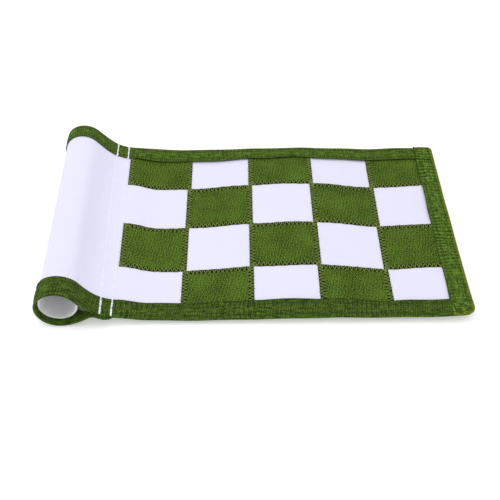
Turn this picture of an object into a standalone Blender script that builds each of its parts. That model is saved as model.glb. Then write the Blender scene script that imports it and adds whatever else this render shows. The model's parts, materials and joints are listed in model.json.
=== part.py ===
"""A golf practice-green flag: a checkered cloth flag with a pole sleeve and a plastic sleeve tube.

Metres, +Z up. The flag lies flat on a surface. +X runs from the sleeve to the fly edge and +Y runs
along the sleeve. The origin is at the bottom centre of the whole flag's box.

Inside this file x counts from the seam between the sleeve and the checkered field, and WORLD_SHIFT
moves the finished flag to its origin.
"""

import math

import bmesh
import bpy
from mathutils import Vector

# Outline of the flag
FLAG_HEIGHT = 0.1524
FIELD_LENGTH = 0.2032
BINDING_WIDTH = 0.0127
FLY_CORNER_FAR = 0.0025
FLY_CORNER_NEAR = 0.0055

# Checker
COLUMNS = 5
ROWS = 4
COLUMN_PITCH = 0.0395
ROW_PITCH = 0.0370
COLUMN_STEPS = 5
ROW_STEPS = 3
SEAM_BAND = 0.0031
GREEN_TUCK = 0.0030
CLOTH_INSET = 0.0035

# Layers
CLOTH = 0.0003
TAPE = 0.0004
GAP = 0.0003

# Sleeve and tube
TUBE_RADIUS = 0.0108
TUBE_WALL = 0.0010
TUBE_LENGTH = 0.1480
TUBE_SIDES = 48
SEAM_TO_TUBE = 0.0295
SEAM_HEIGHT = 0.0052
SEAM_X = 0.0004
SLEEVE_SLANT = 0.0032
TOP_LEAVES_TUBE = math.radians(32)
BOTTOM_LEAVES_TUBE = math.radians(287)
TOP_SLOPE = math.radians(14)
BOTTOM_SLOPE = math.radians(14)
TOP_HANDLE = 0.0090
BOTTOM_HANDLE = 0.0070
ARC_STEP = math.radians(12)
RUN_STEPS = 8

# Grid
SMALLEST_CELL = 0.0008
SHARP_EDGE = math.radians(40)

# Threads
ROW_THREAD = 0.00045
FINE_THREAD = 0.00020
ROW_2_TO_SEAM = 0.0015
ROW_SPACING = 0.0072
ROW_STEPS_ALONG = 24
ROW_CLIMB = 0.0012
TAPE_STITCH_INSET = 0.0026
EDGE_STITCH_FROM_SEAM = 0.0015
LOOP_STITCH_FROM_SEAM = 0.0105
LOOP_STITCH_LOWEST = 0.0032
ZIGZAG_FROM_SEAM = 0.0008
HOP_RUN = 0.0007

# Height of the white cloth's middle above the surface, at places along the field:
# down the flag's middle, and along its near and far edges.
MIDDLE_WAVE = (
    (0.000, 0.0052),
    (0.005, 0.0050),
    (0.016, 0.0010),
    (0.028, 0.0004),
    (0.040, 0.0007),
    (0.079, 0.0040),
    (0.108, 0.0056),
    (0.118, 0.0054),
    (0.158, 0.0009),
    (0.190, 0.0028),
    (0.2032, 0.0024),
)
EDGE_WAVE = (
    (0.000, 0.0052),
    (0.016, 0.0032),
    (0.040, 0.0019),
    (0.079, 0.0025),
    (0.110, 0.0031),
    (0.158, 0.0017),
    (0.190, 0.0027),
    (0.2032, 0.0024),
)
WAVE_FADE = 4

HALF_HEIGHT = FLAG_HEIGHT / 2
BINDING_INNER = HALF_HEIGHT - BINDING_WIDTH
FLY_INNER = FIELD_LENGTH - BINDING_WIDTH
HALF_BAND = SEAM_BAND / 2

# Offsets of each layer from the middle of the white cloth
CLOTH_TOP = CLOTH / 2
GREEN_LOW = CLOTH_TOP + GAP
GREEN_TOP = GREEN_LOW + CLOTH
TAPE_LOW = GREEN_TOP + GAP
TAPE_TOP = TAPE_LOW + TAPE
UNDER_TOP = -CLOTH / 2 - GAP
UNDER_LOW = UNDER_TOP - TAPE
LOOP_LOW = CLOTH_TOP + GAP
LOOP_TOP = LOOP_LOW + TAPE

CLOTH_RADIUS = TUBE_RADIUS + GAP + TAPE + GAP + CLOTH / 2
TUBE_CENTRE_Z = CLOTH_RADIUS + LOOP_TOP
RETURN_HEIGHT = SEAM_HEIGHT - 2 * LOOP_TOP - GAP
HINGE_HEIGHT = SEAM_HEIGHT + TAPE_TOP


def seam_x(y):
    """The seam runs slightly askew to the checker."""
    return SEAM_X - SLEEVE_SLANT * y / FLAG_HEIGHT


STITCH_STANDS = GAP + 2 * FINE_THREAD
LEFT_SIDE = seam_x(HALF_HEIGHT) - SEAM_TO_TUBE - CLOTH_RADIUS - LOOP_TOP - STITCH_STANDS
WORLD_SHIFT = Vector((-(LEFT_SIDE + FIELD_LENGTH) / 2, 0, 0))


def clear_scene():
    for old in list(bpy.data.objects):
        bpy.data.objects.remove(old)


def make_material(name, colour, roughness):
    material = bpy.data.materials.new(name)
    material.use_nodes = True
    shader = material.node_tree.nodes["Principled BSDF"]
    shader.inputs["Base Color"].default_value = (*colour, 1)
    shader.inputs["Roughness"].default_value = roughness
    shader.inputs["Metallic"].default_value = 0
    material.diffuse_color = (*colour, 1)
    return material


def curve_through(points, x):
    """The height at x of a smooth curve through the points, level beyond its ends."""
    if x <= points[0][0]:
        return points[0][1]
    for i in range(len(points) - 1):
        x0, y0 = points[i]
        x1, y1 = points[i + 1]
        if x <= x1:
            before = points[max(i - 1, 0)]
            after = points[min(i + 2, len(points) - 1)]
            slope_0 = (y1 - before[1]) / (x1 - before[0])
            slope_1 = (after[1] - y0) / (after[0] - x0)
            run = x1 - x0
            t = (x - x0) / run
            rise = y0 + (y1 - y0) * t * t * (3 - 2 * t)
            lean = slope_0 * t * (1 - t) ** 2 - slope_1 * t * t * (1 - t)
            return rise + lean * run
    return points[-1][1]


def cloth_height(x, y):
    """Height of the white cloth's middle: the waves are strongest down the flag's middle."""
    middle = 1 - min(1, abs(y) / HALF_HEIGHT) ** WAVE_FADE
    edge_height = curve_through(EDGE_WAVE, x)
    return edge_height + middle * (curve_through(MIDDLE_WAVE, x) - edge_height)


def field_point(x, y, offset):
    """A point of the field, offset above the white cloth's middle."""
    skew = seam_x(y) * max(0, 1 - x / COLUMN_PITCH)
    return Vector((x + skew, y, cloth_height(x, y) + offset)) + WORLD_SHIFT


def split(start, end, pieces):
    return [start + (end - start) * k / pieces for k in range(pieces + 1)]


def field_x_lines(start, end):
    """Grid lines across the columns, with one on each side of each zigzag band."""
    lines = {FLY_INNER, FLY_INNER + GREEN_TUCK}
    for column in range(COLUMNS):
        left = column * COLUMN_PITCH + (HALF_BAND if column else SEAM_BAND)
        right = (column + 1) * COLUMN_PITCH - HALF_BAND
        lines.update(split(left, right, COLUMN_STEPS))
    return without_slivers(lines, start, end)


def without_slivers(lines, start, end):
    """The lines from start to end in order, without those that lie too close to either of these."""
    between = [line for line in lines if min(line - start, end - line) > SMALLEST_CELL]
    return [start, *sorted(between), end]


def field_y_lines(limit):
    """Grid lines across the rows, from -limit to limit."""
    lines = {-BINDING_INNER, BINDING_INNER}
    for row in range(ROWS):
        near = (row - ROWS / 2) * ROW_PITCH + HALF_BAND
        far = near + ROW_PITCH - SEAM_BAND
        lines.update(split(near, far, ROW_STEPS))
    return without_slivers(lines, -limit, limit)


def link(name, data, material):
    thing = bpy.data.objects.new(name, data)
    thing.data.materials.append(material)
    bpy.context.scene.collection.objects.link(thing)
    return thing


def sheet_body(name, upper, lower, material, keep=None):
    """A closed sheet between two grids of points; keep says which of its cells exist."""
    rows = len(upper) - 1
    columns = len(upper[0]) - 1
    cells = {
        (i, j) for i in range(rows) for j in range(columns) if keep is None or keep(i, j)
    }
    bm = bmesh.new()
    made = {}

    def vertex(grid, i, j):
        key = (grid is upper, i, j)
        if key not in made:
            made[key] = bm.verts.new(grid[i][j])
        return made[key]

    for i, j in sorted(cells):
        corners = ((i, j), (i + 1, j), (i + 1, j + 1), (i, j + 1))
        neighbours = ((i, j - 1), (i + 1, j), (i, j + 1), (i - 1, j))
        bm.faces.new([vertex(upper, *corner) for corner in corners])
        bm.faces.new([vertex(lower, *corner) for corner in reversed(corners)])
        for side, neighbour in enumerate(neighbours):
            if neighbour not in cells:
                a = corners[side]
                b = corners[(side + 1) % 4]
                wall = (vertex(upper, *b), vertex(upper, *a), vertex(lower, *a), vertex(lower, *b))
                bm.faces.new(wall)
    bmesh.ops.recalc_face_normals(bm, faces=bm.faces)
    mesh = bpy.data.meshes.new(name)
    bm.to_mesh(mesh)
    bm.free()
    mesh.shade_smooth()
    mesh.set_sharp_from_angle(angle=SHARP_EDGE)
    return link(name, mesh, material)


def thread(name, points, radius, material):
    """A thread: a thin round tube through the points."""
    curve = bpy.data.curves.new(name, "CURVE")
    curve.dimensions = "3D"
    curve.bevel_depth = radius
    curve.bevel_resolution = 0
    curve.use_fill_caps = True
    curve.render_resolution_u = 0
    spline = curve.splines.new("POLY")
    spline.points.add(len(points) - 1)
    for spot, point in zip(spline.points, points):
        spot.co = (*point, 1)
    return link(name, curve, material)


def is_green(column, row):
    return (column + row) % 2 == 1


def checker_place(x, y):
    """The column and row that a point of the field lies in, and whether it is in a zigzag band."""
    column = min(COLUMNS - 1, int(x / COLUMN_PITCH))
    row = min(ROWS - 1, max(0, math.floor(y / ROW_PITCH + ROWS / 2)))
    nearest_column = round(x / COLUMN_PITCH)
    nearest_row = round(y / ROW_PITCH)
    on_column = 0 < nearest_column < COLUMNS and abs(x - nearest_column * COLUMN_PITCH) < HALF_BAND
    on_row = abs(nearest_row) < ROWS / 2 and abs(y - nearest_row * ROW_PITCH) < HALF_BAND
    return column, row, on_column or on_row


def make_checker(name, wants_green, y_limit, x_end, low, high, material):
    """One of the two cloths of the checker, with windows cut where the other one shows."""
    xs = field_x_lines(GAP / 2, x_end)
    ys = field_y_lines(y_limit)

    def keep(i, j):
        x = (xs[i] + xs[i + 1]) / 2
        y = (ys[j] + ys[j + 1]) / 2
        column, row, in_band = checker_place(x, y)
        framed = x < SEAM_BAND or x > FLY_INNER or abs(y) > BINDING_INNER
        if in_band or is_green(column, row) == wants_green:
            return True
        return framed and not wants_green

    upper = [[field_point(x, y, high) for y in ys] for x in xs]
    lower = [[field_point(x, y, low) for y in ys] for x in xs]
    return sheet_body(name, upper, lower, material, keep)


def folded(flap, edge, high, low):
    """Places across a tape: in along its upper flap, round its fold and back along its lower flap."""
    upper = [(place, high) for place in (*flap, edge)]
    return upper + [(place, low) for place in (edge, *reversed(flap))]


def make_edge_binding(name, side, material):
    """The tape folded over the near (side -1) or far (side 1) edge of the field."""
    xs = field_x_lines(GAP / 2, FLY_INNER - GAP)
    flap = (BINDING_INNER, HALF_HEIGHT - CLOTH_INSET)
    outside = folded(flap, HALF_HEIGHT, TAPE_TOP, UNDER_LOW)
    inside = folded(flap, HALF_HEIGHT - TAPE, TAPE_LOW, UNDER_TOP)
    upper = [[field_point(x, side * y, z) for y, z in outside] for x in xs]
    lower = [[field_point(x, side * y, z) for y, z in inside] for x in xs]
    return sheet_body(name, upper, lower, material)


def fly_edge_x(y, inset):
    """The fly edge, rounded at its two corners and moved in by inset."""
    corner = FLY_CORNER_FAR if y > 0 else FLY_CORNER_NEAR
    past = abs(y) - (HALF_HEIGHT - corner)
    if past <= 0:
        return FIELD_LENGTH - inset
    reach = max(0, corner * corner - past * past) ** 0.5
    return FIELD_LENGTH - corner + reach - inset


def corner_lines(corner):
    """Distances from the flag's edge at which the fly tape has a section, round a corner."""
    return [corner * (1 - math.cos(math.radians(angle))) for angle in (0, 25, 50, 90)]


def make_fly_binding(material):
    """The tape folded over the fly edge, with the flag's two outer corners."""
    near = [-HALF_HEIGHT + drop for drop in corner_lines(FLY_CORNER_NEAR)]
    far = [HALF_HEIGHT - drop for drop in corner_lines(FLY_CORNER_FAR)]
    straight = [y for y in field_y_lines(HALF_HEIGHT) if max(near) < y < min(far)]
    ys = sorted(near + straight + far)

    flap = (FLY_INNER, FLY_INNER + GREEN_TUCK)

    def across(y, low, high, inset):
        edge = fly_edge_x(y, inset)
        return [field_point(x, y, z) for x, z in folded(flap, edge, high, low)]

    upper = [across(y, UNDER_LOW, TAPE_TOP, 0) for y in ys]
    lower = [across(y, UNDER_TOP, TAPE_LOW, TAPE) for y in ys]
    return sheet_body("fly_binding", upper, lower, material)


def bezier(p0, p1, p2, p3, t):
    s = 1 - t
    return p0 * s**3 + p1 * (3 * s * s * t) + p2 * (3 * s * t * t) + p3 * t**3


def sleeve_path():
    """The middle of the sleeve's cloth in (x, z): from the seam over the tube and back under it."""
    centre = Vector((-SEAM_TO_TUBE, TUBE_CENTRE_Z))
    start = Vector((-GAP / 2, SEAM_HEIGHT))
    end = Vector((-GAP / 2, RETURN_HEIGHT))

    def on_tube(angle):
        return centre + CLOTH_RADIUS * Vector((math.cos(angle), math.sin(angle)))

    def heading(angle):
        return Vector((-math.sin(angle), math.cos(angle)))

    leaves = on_tube(TOP_LEAVES_TUBE)
    lands = on_tube(BOTTOM_LEAVES_TUBE)
    start_handle = start + TOP_HANDLE * Vector((-math.cos(TOP_SLOPE), math.sin(TOP_SLOPE)))
    leaves_handle = leaves - TOP_HANDLE * heading(TOP_LEAVES_TUBE)
    lands_handle = lands + BOTTOM_HANDLE * heading(BOTTOM_LEAVES_TUBE)
    end_handle = end - BOTTOM_HANDLE * Vector((math.cos(BOTTOM_SLOPE), math.sin(BOTTOM_SLOPE)))
    runs = [k / RUN_STEPS for k in range(RUN_STEPS)]
    over = [bezier(start, start_handle, leaves_handle, leaves, t) for t in runs]
    steps = round((BOTTOM_LEAVES_TUBE - TOP_LEAVES_TUBE) / ARC_STEP)
    around = [on_tube(angle) for angle in split(TOP_LEAVES_TUBE, BOTTOM_LEAVES_TUBE, steps)]
    under = [bezier(lands, lands_handle, end_handle, end, t) for t in runs[1:] + [1]]
    return over + around + under


def sleeve_normals(path):
    """The outward normals of the sleeve's path."""
    normals = []
    for i in range(len(path)):
        along = path[min(i + 1, len(path) - 1)] - path[max(i - 1, 0)]
        normals.append(Vector((along.y, -along.x)).normalized())
    return normals


SLEEVE_PATH = sleeve_path()
SLEEVE_NORMALS = sleeve_normals(SLEEVE_PATH)


def sleeve_point(i, y, offset):
    """A point of the sleeve beside its path's point i, offset outward from the cloth's middle."""
    spot = SLEEVE_PATH[i] + SLEEVE_NORMALS[i] * offset
    return Vector((spot.x + seam_x(y), y, spot.y)) + WORLD_SHIFT


def make_sleeve_cloth(material):
    ys = split(-HALF_HEIGHT + CLOTH_INSET, HALF_HEIGHT - CLOTH_INSET, 3)
    places = range(len(SLEEVE_PATH))
    upper = [[sleeve_point(i, y, CLOTH / 2) for y in ys] for i in places]
    lower = [[sleeve_point(i, y, -CLOTH / 2) for y in ys] for i in places]
    return sheet_body("sleeve_cloth", upper, lower, material)


def make_loop_binding(name, side, material):
    """The tape folded over one end of the sleeve, from the seam round to the seam again."""
    outside = folded((BINDING_INNER,), HALF_HEIGHT, LOOP_TOP, -LOOP_TOP)
    inside = folded((BINDING_INNER,), HALF_HEIGHT - TAPE, LOOP_LOW, -LOOP_LOW)
    places = range(len(SLEEVE_PATH))
    upper = [[sleeve_point(i, side * y, z) for y, z in outside] for i in places]
    lower = [[sleeve_point(i, side * y, z) for y, z in inside] for i in places]
    return sheet_body(name, upper, lower, material)


def make_tube(material):
    """The plastic tube in the sleeve: a ring section turned about its own axis."""
    half = TUBE_LENGTH / 2
    bore = TUBE_RADIUS - TUBE_WALL
    bm = bmesh.new()
    section = [(TUBE_RADIUS, -half), (TUBE_RADIUS, half), (bore, half), (bore, -half)]
    corners = [bm.verts.new((r, y, 0)) for r, y in section]
    edges = [bm.edges.new((corners[k], corners[(k + 1) % 4])) for k in range(4)]
    bmesh.ops.spin(
        bm,
        geom=corners + edges,
        cent=(0, 0, 0),
        axis=(0, 1, 0),
        angle=math.tau,
        steps=TUBE_SIDES,
        use_merge=True,
    )
    bmesh.ops.remove_doubles(bm, verts=bm.verts, dist=1e-6)
    bmesh.ops.recalc_face_normals(bm, faces=bm.faces)
    mesh = bpy.data.meshes.new("insert_tube")
    bm.to_mesh(mesh)
    bm.free()
    mesh.shade_smooth()
    mesh.set_sharp_from_angle(angle=SHARP_EDGE)
    tube = link("insert_tube", mesh, material)
    tube.location = Vector((SEAM_X - SEAM_TO_TUBE, 0, TUBE_CENTRE_Z)) + WORLD_SHIFT
    tube.rotation_euler = (0, 0, math.atan2(SLEEVE_SLANT, FLAG_HEIGHT))
    return tube


def path_place(distance):
    """The path's point nearest to a distance before the seam, over the tube's top."""
    top = range(len(SLEEVE_PATH) // 2)
    return min(top, key=lambda i: abs(SLEEVE_PATH[i].x + distance))


def top_point(distance, y, offset):
    """A point over the sleeve's upper run, at a distance before the seam."""
    i = path_place(distance)
    j = i + 1 if SLEEVE_PATH[i].x > -distance else i - 1
    share = (-distance - SLEEVE_PATH[i].x) / (SLEEVE_PATH[j].x - SLEEVE_PATH[i].x)
    return sleeve_point(i, y, offset).lerp(sleeve_point(j, y, offset), share)


def make_sleeve_row(name, distance, material):
    """One of the two heavy rows of stitches that close the sleeve."""
    on_cloth = CLOTH_TOP + GAP + ROW_THREAD
    on_tape = LOOP_TOP + GAP + ROW_THREAD
    ramp = BINDING_INNER - ROW_CLIMB
    reach = HALF_HEIGHT - ROW_THREAD
    ys = [-reach, -BINDING_INNER, *split(-ramp, ramp, ROW_STEPS_ALONG), BINDING_INNER, reach]
    points = [
        top_point(distance, y, on_cloth if abs(y) < BINDING_INNER else on_tape) for y in ys
    ]
    return thread(name, points, ROW_THREAD, material)


def make_loop_stitch(name, y, material):
    """A fine stitch line on the tape, over one end of the sleeve and down its outer side."""
    offset = LOOP_TOP + GAP + FINE_THREAD
    first = path_place(LOOP_STITCH_FROM_SEAM)
    points = [sleeve_point(i, y, offset) for i in range(first, len(SLEEVE_PATH))]
    outer_side = [
        place for place in points if place.z > LOOP_STITCH_LOWEST and not is_under_seam(place)
    ]
    return thread(name, outer_side, FINE_THREAD, material)


def is_under_seam(place):
    """True below the tube's centre on the seam's side of it."""
    return place.z < TUBE_CENTRE_Z / 2 and place.x > WORLD_SHIFT.x - SEAM_TO_TUBE


def make_edge_stitch(name, y, material):
    """A fine stitch line on the tape along the near or far edge of the field."""
    xs = field_x_lines(EDGE_STITCH_FROM_SEAM, FLY_INNER - 2 * GAP)
    offset = TAPE_TOP + GAP + FINE_THREAD
    return thread(name, [field_point(x, y, offset) for x in xs], FINE_THREAD, material)


def make_fly_stitch(name, x, material):
    """A fine stitch line on the tape along the fly edge."""
    ys = field_y_lines(HALF_HEIGHT - CLOTH_INSET)
    offset = TAPE_TOP + GAP + FINE_THREAD
    return thread(name, [field_point(x, y, offset) for y in ys], FINE_THREAD, material)


def make_zigzag(name, xs, ys, material, crossed=()):
    """A band of zigzag stitching over the grid xs by ys; it hops over the bands that it crosses."""
    low = GREEN_TOP + GAP
    over = CLOTH + GAP

    def lift(x):
        return over if any(abs(x - line) < HALF_BAND + GAP + HOP_RUN / 2 for line in crossed) else 0

    upper = [[field_point(x, y, low + CLOTH + lift(x)) for y in ys] for x in xs]
    lower = [[field_point(x, y, low + lift(x)) for y in ys] for x in xs]
    return sheet_body(name, upper, lower, material)


def make_zigzags(material):
    """The zigzag seams: down each column line, along each row line and on the first column's edge."""
    made = []
    limit = BINDING_INNER - GAP
    ys = field_y_lines(limit)
    column_lines = [column * COLUMN_PITCH for column in range(1, COLUMNS)]
    row_lines = [(row - ROWS / 2) * ROW_PITCH for row in range(1, ROWS)]
    for number, line in enumerate(column_lines, 1):
        xs = [line - HALF_BAND, line + HALF_BAND]
        made.append(make_zigzag(f"zigzag_column_{number}", xs, ys, material))
    across = set(field_x_lines(ZIGZAG_FROM_SEAM, FLY_INNER - GAP))
    across = {x for x in across if all(abs(x - line) > 2 * HALF_BAND for line in column_lines)}
    for line in column_lines:
        for side in (-1, 1):
            hop = HALF_BAND + GAP
            across.update((line + side * hop, line + side * (hop + HOP_RUN)))
    for number, line in enumerate(row_lines, 1):
        band = [line - HALF_BAND, line + HALF_BAND]
        made.append(make_zigzag(f"zigzag_row_{number}", sorted(across), band, material, column_lines))
    for row, place in ((1, "middle"), (3, "far")):
        near = (row - ROWS / 2) * ROW_PITCH + HALF_BAND + GAP
        far = min(near + ROW_PITCH - SEAM_BAND - 2 * GAP, limit)
        edge = [ZIGZAG_FROM_SEAM, SEAM_BAND]
        ys = split(near, far, ROW_STEPS)
        made.append(make_zigzag(f"zigzag_seam_{place}", edge, ys, material))
    return made


def hang_on_hinge(things):
    """Parents the field's pieces to an empty on the fold's axis."""
    pivot = bpy.data.objects.new("fold_axis", None)
    pivot.location = Vector((SEAM_X, 0, HINGE_HEIGHT)) + WORLD_SHIFT
    pivot.rotation_euler = (0, 0, math.atan2(SLEEVE_SLANT, FLAG_HEIGHT))
    bpy.context.scene.collection.objects.link(pivot)
    bpy.context.view_layer.update()
    for thing in things:
        thing.parent = pivot
        thing.matrix_parent_inverse = pivot.matrix_world.inverted()


def main():
    clear_scene()
    white = make_material("white_nylon", (0.80, 0.80, 0.90), 0.75)
    green = make_material("green_nylon", (0.055, 0.130, 0.014), 0.75)
    tape = make_material("green_tape", (0.045, 0.115, 0.012), 0.8)
    plastic = make_material("white_plastic", (0.75, 0.75, 0.80), 0.4)
    white_thread = make_material("white_thread", (0.85, 0.85, 0.88), 0.7)
    green_thread = make_material("green_thread", (0.070, 0.150, 0.020), 0.7)

    make_sleeve_cloth(white)
    make_tube(plastic)
    make_loop_binding("near_loop_binding", -1, tape)
    make_loop_binding("far_loop_binding", 1, tape)
    make_sleeve_row("sleeve_stitch_outer", ROW_2_TO_SEAM + ROW_SPACING, white_thread)
    make_sleeve_row("sleeve_stitch_inner", ROW_2_TO_SEAM, white_thread)

    cloth_end = FIELD_LENGTH - CLOTH_INSET
    cloth_side = HALF_HEIGHT - CLOTH_INSET
    green_end = FLY_INNER + GREEN_TUCK
    green_side = BINDING_INNER + GREEN_TUCK
    field = [
        make_checker("field_cloth", False, cloth_side, cloth_end, -CLOTH_TOP, CLOTH_TOP, white),
        make_checker("green_checker", True, green_side, green_end, GREEN_LOW, GREEN_TOP, green),
        make_edge_binding("near_field_binding", -1, tape),
        make_edge_binding("far_field_binding", 1, tape),
        make_fly_binding(tape),
    ]
    insets = (("outer", HALF_HEIGHT - TAPE_STITCH_INSET), ("inner", BINDING_INNER + TAPE_STITCH_INSET))
    for side, end in ((-1, "near"), (1, "far")):
        for line, y in insets:
            make_loop_stitch(f"{end}_loop_stitch_{line}", side * y, green_thread)
            field.append(make_edge_stitch(f"{end}_field_stitch_{line}", side * y, green_thread))
    field.append(make_fly_stitch("fly_stitch_outer", FIELD_LENGTH - TAPE_STITCH_INSET, green_thread))
    field.append(make_fly_stitch("fly_stitch_inner", FLY_INNER + TAPE_STITCH_INSET, green_thread))
    field += make_zigzags(green_thread)
    hang_on_hinge(field)


main()
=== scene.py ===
"""The looks of a golf practice-green flag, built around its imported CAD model.

Everything is in metres, in the frame of the CAD model. A place on the flag is given by u and y:
u counts along the cloth from the seam beside the sleeve, over the checkered field to the fly edge
or, below zero, up over the sleeve's tube, round it and back under the seam; y runs along the sleeve.
A layer is given by its offset from the middle of the white cloth, outward.
"""

import json
import math

import bpy
import numpy as np
from mathutils import Matrix, Vector


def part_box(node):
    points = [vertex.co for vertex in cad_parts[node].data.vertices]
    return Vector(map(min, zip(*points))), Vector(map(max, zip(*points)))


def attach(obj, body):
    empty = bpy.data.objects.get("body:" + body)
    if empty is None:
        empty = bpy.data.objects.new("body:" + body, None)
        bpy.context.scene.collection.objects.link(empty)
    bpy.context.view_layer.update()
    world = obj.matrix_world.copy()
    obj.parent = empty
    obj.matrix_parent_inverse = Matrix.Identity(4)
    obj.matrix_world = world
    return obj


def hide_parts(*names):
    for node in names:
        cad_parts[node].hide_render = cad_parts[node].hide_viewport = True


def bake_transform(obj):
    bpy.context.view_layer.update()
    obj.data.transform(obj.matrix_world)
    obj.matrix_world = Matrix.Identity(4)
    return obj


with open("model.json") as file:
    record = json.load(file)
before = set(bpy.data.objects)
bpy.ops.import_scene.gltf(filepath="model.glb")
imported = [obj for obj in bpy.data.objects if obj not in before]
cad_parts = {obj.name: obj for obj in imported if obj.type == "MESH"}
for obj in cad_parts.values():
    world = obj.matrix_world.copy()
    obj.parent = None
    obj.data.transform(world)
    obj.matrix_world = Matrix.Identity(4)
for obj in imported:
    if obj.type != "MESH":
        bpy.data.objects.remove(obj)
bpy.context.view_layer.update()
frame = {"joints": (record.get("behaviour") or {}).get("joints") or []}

MM = 0.001

# Outline, as in the CAD model
HALF_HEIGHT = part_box("far_field_binding")[1].y
FLAG_HEIGHT = 2 * HALF_HEIGHT
FIELD_LENGTH = 203.2 * MM
ORIGIN_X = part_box("fly_binding")[1].x - FIELD_LENGTH
TAPE_WIDTH = 12.7 * MM
TAPE_INNER = HALF_HEIGHT - TAPE_WIDTH
FLY_INNER = FIELD_LENGTH - TAPE_WIDTH
NEAR_CORNER = 7.0 * MM
CORNER_STEPS = 22
CORNER_LENGTH = 8 * MM
FAR_CORNER = 2.5 * MM
SLEEVE_SLANT = 3.2 * MM
SEAM_X = 0.4 * MM

# Checker
COLUMNS = 5
ROWS = 4
COLUMN_PITCH = 39.5 * MM
ROW_PITCH = 37.0 * MM
BAND_WIDTH = 3.2 * MM
OVER_COLUMN_LINE = 1.1 * MM
OVER_ROW_LINE = 0.1 * MM
WINDOW_INSET = 2.6 * MM
GREEN_START = 0.3 * MM
TUCK = 3.0 * MM
CLOTH_INSET = 1.2 * MM

# Layers, as offsets from the middle of the white cloth
WHITE_HALF = 0.11 * MM
GREEN_LOW = 0.14 * MM
GREEN_HIGH = 0.38 * MM
TAPE_THICKNESS = 0.34 * MM
TAPE_RIDES = 0.60 * MM
TAPE_UNDER = -0.36 * MM
TAPE_LAP = 0.42 * MM

# Sleeve and tube
TUBE_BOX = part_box("insert_tube")
TUBE_CENTRE_Z = (TUBE_BOX[0].z + TUBE_BOX[1].z) / 2
TUBE_RADIUS = (TUBE_BOX[1].z - TUBE_BOX[0].z) / 2
TUBE_WALL = 1.0 * MM
TUBE_LENGTH = 148.0 * MM
SEAM_TO_TUBE = 29.5 * MM
SLEEVE_RADIUS_MIDDLE = 11.5 * MM
SLEEVE_RADIUS_ENDS = (12.15 * MM, 11.45 * MM)
# The sleeve takes on its ends' shape between these distances from its middle.
SLEEVE_END_FROM = 52 * MM
SLEEVE_END_FULL = 66 * MM
# Each pair is for the near end and the far end of the sleeve.
TOP_LEAVES_TUBE = (31, 45)
BOTTOM_LEAVES_TUBE = (276, 282)
TOP_SLOPE = (8, 8)
SEAM_HANDLE = (9.7 * MM, 12.0 * MM)
LEAVE_HANDLE = (9.3 * MM, 8.4 * MM)
JOINED_AT = (0.37, 0.31)
UNDER_HANDLE = 12.0 * MM
JOIN_HANDLE = 5.0 * MM
HEM_LENGTH = 1.2 * MM
# How much wider each end's tape stands round the tube
LOOP_FLARE = (1.3 * MM, -0.7 * MM)
# How far the returning cloth lies below its own start, in the cloth and in the taped ends
LAYER_DROP_CLOTH = 0.30 * MM
LAYER_DROP_TAPE = 1.15 * MM

# Height of the cloth above the surface along the field: down its middle and along its two edges.
MIDDLE_WAVE = ((0, 5.4), (4, 5.0), (8, 3.9), (16, 1.3), (28, 0.5), (40, 0.7), (79, 4.3), (108, 5.8),
               (118, 5.6), (158, 1.2), (190, 2.8), (203.2, 2.5))
NEAR_WAVE = ((0, 5.3), (11, 3.9), (30, 2.7), (58, 2.4), (86, 3.0), (110, 3.6), (145, 3.6),
             (172, 3.8), (192, 4.2), (203.2, 5.2))
FAR_WAVE = ((0, 5.3), (16, 3.6), (40, 2.6), (79, 3.6), (110, 4.2), (158, 2.6), (190, 3.2),
            (203.2, 3.0))
WAVE_FADE = 4

# Stitches
INNER_ROW = 1.5 * MM
ROW_SPACING = 7.2 * MM
ROW_STITCH = 5.0 * MM
ROW_THREAD = 0.58 * MM
ZIGZAG_STEP = 1.25 * MM
ZIGZAG_THREAD = 0.235 * MM
FINE_STITCH = 2.4 * MM
FINE_THREAD = 0.15 * MM
PLIES = 2

# Each tape's number, which makes its unevenness its own, and the depth of its puckers.
NEAR, FAR, FLY = 1, 2, 3
PUCKER_DEPTH = {NEAR: 0.11 * MM, FAR: 0.08 * MM, FLY: 0.24 * MM}
STITCH_INSET = 2.6 * MM
STITCH_LINES = (("inner", STITCH_INSET), ("outer", TAPE_WIDTH - STITCH_INSET))

# Points across a tape: round its fold, and on its lower flap
FOLD_POINTS = 9
LOWER_POINTS = 12
FULL_FLAP = TAPE_WIDTH + 0.3 * MM

# Fold: the hinge between the sleeve and the field, and distances before and after it
HINGE = next(joint for joint in frame["joints"] if joint["name"] == "field_fold")
TURN_BEFORE = 1.0 * MM
TURN_AFTER = 6.0 * MM

CELL = 1.0 * MM
FINE_CELL = 0.6 * MM
SHARP_EDGE = math.radians(45)


# The flag's surface

def smooth_step(low, high, value):
    t = np.clip((value - low) / (high - low), 0, 1)
    return t * t * (3 - 2 * t)


def between(pair, share):
    return pair[0] + (pair[1] - pair[0]) * share


def unit(vectors):
    return vectors / np.linalg.norm(vectors, axis=-1, keepdims=True)


def distances_along(points):
    return np.concatenate([[0], np.cumsum(np.linalg.norm(np.diff(points, axis=0), axis=1))])


def curve_through(points, x):
    """Height at x of a smooth curve through points in mm, level beyond its ends."""
    xs = np.array([point[0] for point in points]) * MM
    zs = np.array([point[1] for point in points]) * MM
    slopes = np.gradient(zs, xs)
    x = np.clip(x, xs[0], xs[-1])
    i = np.clip(np.searchsorted(xs, x) - 1, 0, len(xs) - 2)
    run = xs[i + 1] - xs[i]
    t = (x - xs[i]) / run
    rise = zs[i] + (zs[i + 1] - zs[i]) * t * t * (3 - 2 * t)
    return rise + run * (slopes[i] * t * (1 - t) ** 2 - slopes[i + 1] * t * t * (1 - t))


def seam_x(y):
    return SEAM_X - SLEEVE_SLANT * y / FLAG_HEIGHT


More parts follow.
